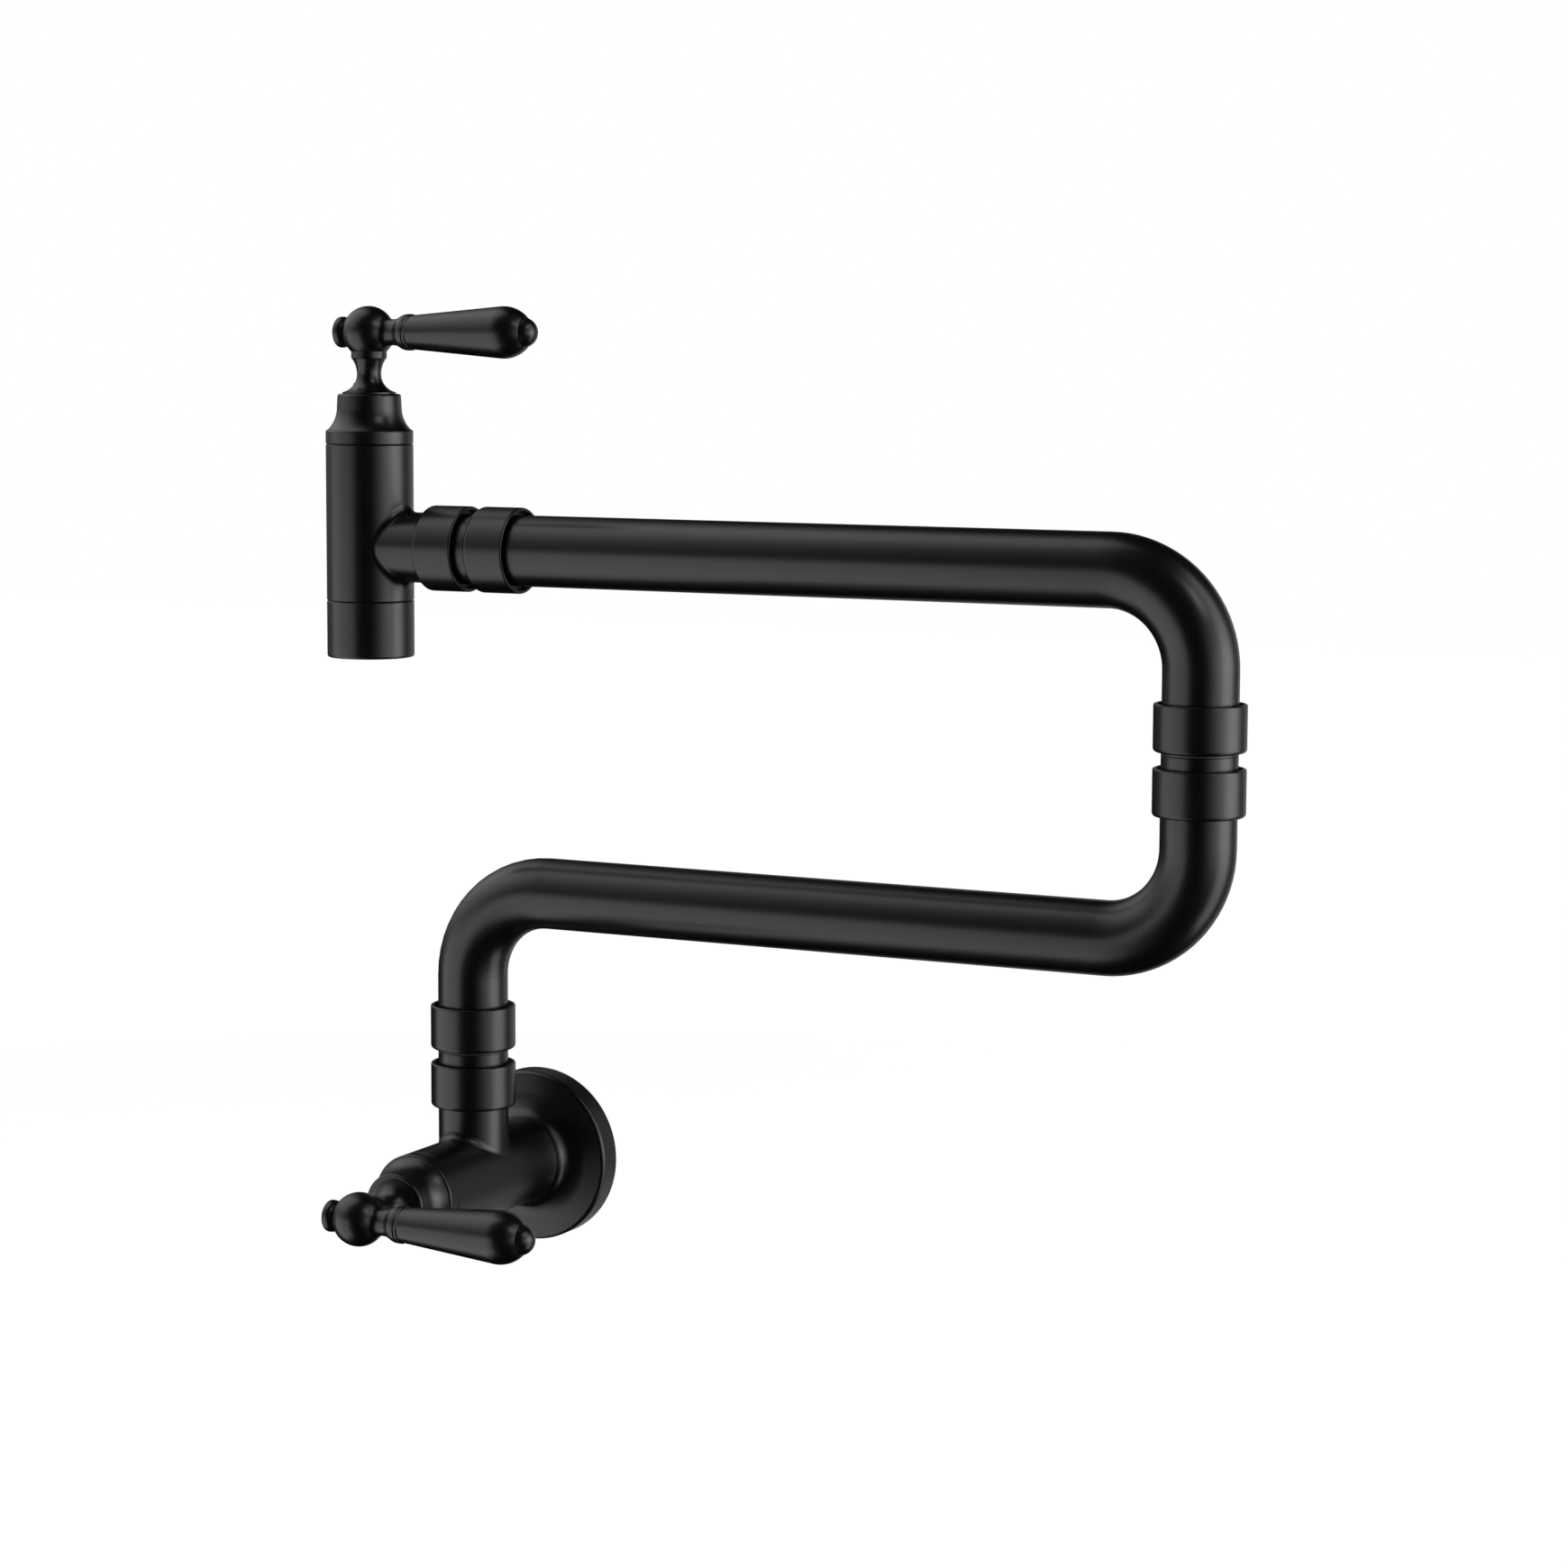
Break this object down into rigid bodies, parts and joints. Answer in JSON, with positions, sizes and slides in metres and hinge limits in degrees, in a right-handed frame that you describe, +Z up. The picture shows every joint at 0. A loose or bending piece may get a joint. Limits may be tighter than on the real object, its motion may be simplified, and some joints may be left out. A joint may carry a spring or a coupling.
{
  "type": "wall-mounted pot filler",
  "caption": "Matte black tap on a double-jointed arm that folds against the wall over a hob and swings out over a pot, with a lever valve at the wall and another at the spout.",
  "frame": {"origin": "where the inlet's axis meets the finished wall, on the escutcheon's back face", "axes": "+Z up, +Y into the wall, so the room is on the -Y side, and +X to the right along the wall, the way the arms are folded"},
  "size_m": [0.3319, 0.1293, 0.329],
  "materials": {
    "black_finish": "matte",
    "brass": "satin",
    "ceramic": "satin",
    "rubber": "matte",
    "bearing_plastic": "matte",
    "steel": "satin"
  },
  "bodies": {
    "wall_valve": {"wall_valve_body": "black_finish", "wall_flange": "black_finish", "wall_flange_gasket": "rubber", "wall_flange_o_ring": "rubber", "wall_bonnet": "black_finish", "wall_cartridge_nut": "brass", "wall_cartridge_body": "brass", "wall_fixed_disc": "ceramic", "wall_seat_seal": "rubber", "wall_cartridge_o_rings": "rubber", "wall_swivel_collar": "black_finish", "wall_swivel_spindle": "black_finish", "wall_swivel_o_rings": "rubber", "wall_swivel_washer": "bearing_plastic", "wall_swivel_clip": "steel"},
    "wall_handle": {"wall_stem": "brass", "wall_moving_disc": "ceramic", "wall_handle_hub": "black_finish", "wall_handle_finial": "black_finish", "wall_handle_grip": "black_finish", "wall_handle_tip": "black_finish", "wall_handle_set_screw": "steel"},
    "lower_arm": {"lower_arm_tube": "black_finish", "wall_swivel_nut": "black_finish", "wall_swivel_bush": "bearing_plastic", "elbow_swivel_collar": "black_finish", "elbow_swivel_spindle": "black_finish", "elbow_swivel_o_rings": "rubber", "elbow_swivel_washer": "bearing_plastic", "elbow_swivel_clip": "steel"},
    "upper_arm": {"upper_arm_tube": "black_finish", "elbow_swivel_nut": "black_finish", "elbow_swivel_bush": "bearing_plastic", "spout_union_nut": "black_finish", "spout_union_collar": "black_finish", "spout_union_nipple": "black_finish", "spout_union_o_rings": "rubber", "spout_union_washer": "bearing_plastic", "spout_union_lock_screw": "steel", "spout_valve_body": "black_finish", "spout_bonnet": "black_finish", "spout_cartridge_nut": "brass", "spout_cartridge_body": "brass", "spout_fixed_disc": "ceramic", "spout_seat_seal": "rubber", "spout_cartridge_o_rings": "rubber", "outlet_ring": "black_finish", "aerator_washer": "rubber", "aerator": "bearing_plastic"},
    "spout_handle": {"spout_stem": "brass", "spout_moving_disc": "ceramic", "spout_handle_hub": "black_finish", "spout_handle_finial": "black_finish", "spout_handle_grip": "black_finish", "spout_handle_tip": "black_finish", "spout_handle_set_screw": "steel"}
  },
  "joints": [
    {"name": "wall_handle_turn", "type": "hinge", "parent": "wall_valve", "child": "wall_handle", "pos_m": [0, -0.0472, 0], "axis": [0, 1, 0], "range_deg": [0, 90]},
    {"name": "wall_swivel", "type": "hinge", "parent": "wall_valve", "child": "lower_arm", "pos_m": [0, -0.0472, 0.0428], "axis": [0, 0, 1], "range_deg": [-180, 0]},
    {"name": "elbow_swivel", "type": "hinge", "parent": "lower_arm", "child": "upper_arm", "pos_m": [0.262, -0.0472, 0.15875], "axis": [0, 0, 1], "continuous": true},
    {"name": "spout_handle_turn", "type": "hinge", "parent": "upper_arm", "child": "spout_handle", "pos_m": [-0.0404, -0.0472, 0.29], "axis": [0, 0, -1], "range_deg": [0, 90]}
  ]
}
